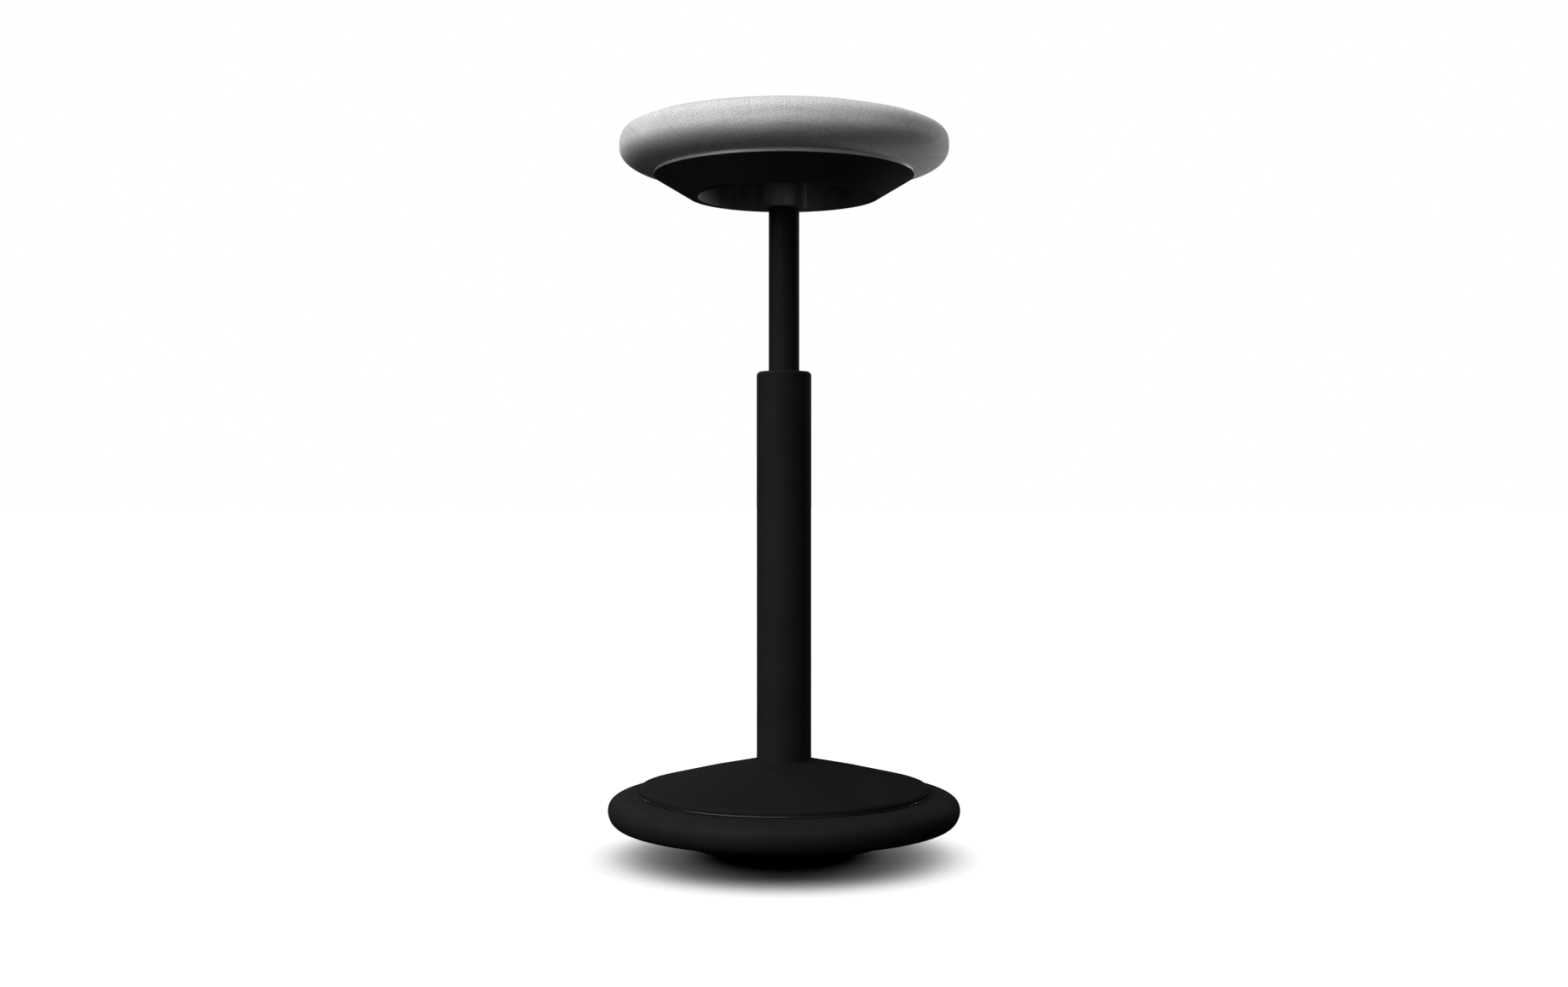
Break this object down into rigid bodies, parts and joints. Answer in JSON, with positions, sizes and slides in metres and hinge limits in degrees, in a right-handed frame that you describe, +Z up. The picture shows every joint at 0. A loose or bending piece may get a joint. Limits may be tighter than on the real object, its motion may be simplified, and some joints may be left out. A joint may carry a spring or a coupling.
{
  "type": "office stool",
  "caption": "Height-adjustable perching stool: round padded seat with an all-round release ring, gas-lift column and weighted foot with a domed rocking sole.",
  "frame": {"origin": "floor level on the column's axis, the centre of the flat patch the sole stands on", "axes": "+Z up along the column, -Y towards the side the picture is taken from, +X to the picture's right"},
  "size_m": [0.3208, 0.3208, 0.6745],
  "materials": {
    "seat_fabric": "pale warm grey grained upholstery, matt",
    "seat_foam": "moulded foam",
    "plywood": "unfinished plywood",
    "black_plastic": "black, fine moulded grain",
    "trim_grey": "pale grey, satin",
    "black_paint": "black powder coat, satin",
    "cap_plastic": "black, smooth",
    "black_rubber": "black, matt",
    "cast_iron": "as cast, primed",
    "bright_steel": "ground",
    "zinc_steel": "zinc plated",
    "bearing_plastic": "natural acetal"
  },
  "bodies": {
    "base": {"rocker_sole": "black_rubber", "base_weight": "cast_iron", "base_bumper": "black_rubber", "base_cover": "black_plastic", "cover_screw_1": "zinc_steel", "cover_screw_2": "zinc_steel", "cover_screw_3": "zinc_steel", "cover_screw_4": "zinc_steel", "column_tube": "black_paint", "guide_bush": "cap_plastic", "lower_race": "bright_steel"},
    "rod_set": {"upper_race": "bright_steel", "bearing_ball_1": "bright_steel", "bearing_ball_2": "bright_steel", "bearing_ball_3": "bright_steel", "bearing_ball_4": "bright_steel", "bearing_ball_5": "bright_steel", "bearing_ball_6": "bright_steel", "ball_cage": "bearing_plastic", "rubber_buffer": "black_rubber", "clip_washer": "zinc_steel", "retaining_clip": "bright_steel", "piston_rod": "bright_steel", "piston": "zinc_steel", "piston_seal": "black_rubber", "piston_nut": "zinc_steel"},
    "seat": {"gas_cylinder": "black_paint", "rod_guide": "bearing_plastic", "rod_seal": "black_rubber", "valve_body": "zinc_steel", "taper_hub": "black_paint", "seat_plate": "zinc_steel", "lever_pin_1": "bright_steel", "lever_pin_2": "bright_steel", "lever_pin_3": "bright_steel", "seat_pan": "black_plastic", "pan_screw_1": "zinc_steel", "pan_screw_2": "zinc_steel", "pan_screw_3": "zinc_steel", "seat_board": "plywood", "tee_nut_1": "zinc_steel", "tee_nut_2": "zinc_steel", "tee_nut_3": "zinc_steel", "tee_nut_4": "zinc_steel", "plate_bolt_1": "zinc_steel", "plate_bolt_2": "zinc_steel", "plate_bolt_3": "zinc_steel", "plate_bolt_4": "zinc_steel", "seat_foam": "seat_foam", "seat_cover": "seat_fabric"},
    "height_ring": {"release_ring": "black_plastic", "ring_screw_1": "zinc_steel", "ring_screw_2": "zinc_steel", "ring_screw_3": "zinc_steel", "ring_trim": "trim_grey"},
    "lever_1": {"rocker_lever_1": "zinc_steel"},
    "lever_2": {"rocker_lever_2": "zinc_steel"},
    "lever_3": {"rocker_lever_3": "zinc_steel"},
    "valve_pin": {"release_pin": "bright_steel"}
  },
  "joints": [
    {"name": "seat_swivel", "type": "hinge", "parent": "base", "child": "rod_set", "pos_m": [0, 0, 0.03], "axis": [0, 0, 1], "continuous": true},
    {"name": "seat_height", "type": "slide", "parent": "rod_set", "child": "seat", "axis": [0, 0, 1], "range_m": [-0.14, 0]},
    {"name": "ring_lift", "type": "slide", "parent": "seat", "child": "height_ring", "axis": [0, 0, 1], "range_m": [0, 0.0025], "stiffness_N_per_m": 4000, "springref_m": -0.0025},
    {"name": "lever_1_rock", "type": "hinge", "parent": "seat", "child": "lever_1", "pos_m": [0, 0.043, 0.6366], "axis": [1, 0, 0], "range_deg": [0, 3.6]},
    {"name": "lever_2_rock", "type": "hinge", "parent": "seat", "child": "lever_2", "pos_m": [-0.03724, -0.0215, 0.6366], "axis": [-0.5, 0.866, 0], "range_deg": [0, 3.6]},
    {"name": "lever_3_rock", "type": "hinge", "parent": "seat", "child": "lever_3", "pos_m": [0.03724, -0.0215, 0.6366], "axis": [-0.5, -0.866, 0], "range_deg": [0, 3.6]},
    {"name": "valve_pin_press", "type": "slide", "parent": "seat", "child": "valve_pin", "axis": [0, 0, -1], "range_m": [0, 0.00255]}
  ],
  "couplings": [
    {"joint": "lever_1_rock", "follows": "ring_lift", "rad_per_m": 25},
    {"joint": "lever_2_rock", "follows": "ring_lift", "rad_per_m": 25},
    {"joint": "lever_3_rock", "follows": "ring_lift", "rad_per_m": 25},
    {"joint": "valve_pin_press", "follows": "ring_lift", "ratio": 1.01}
  ]
}
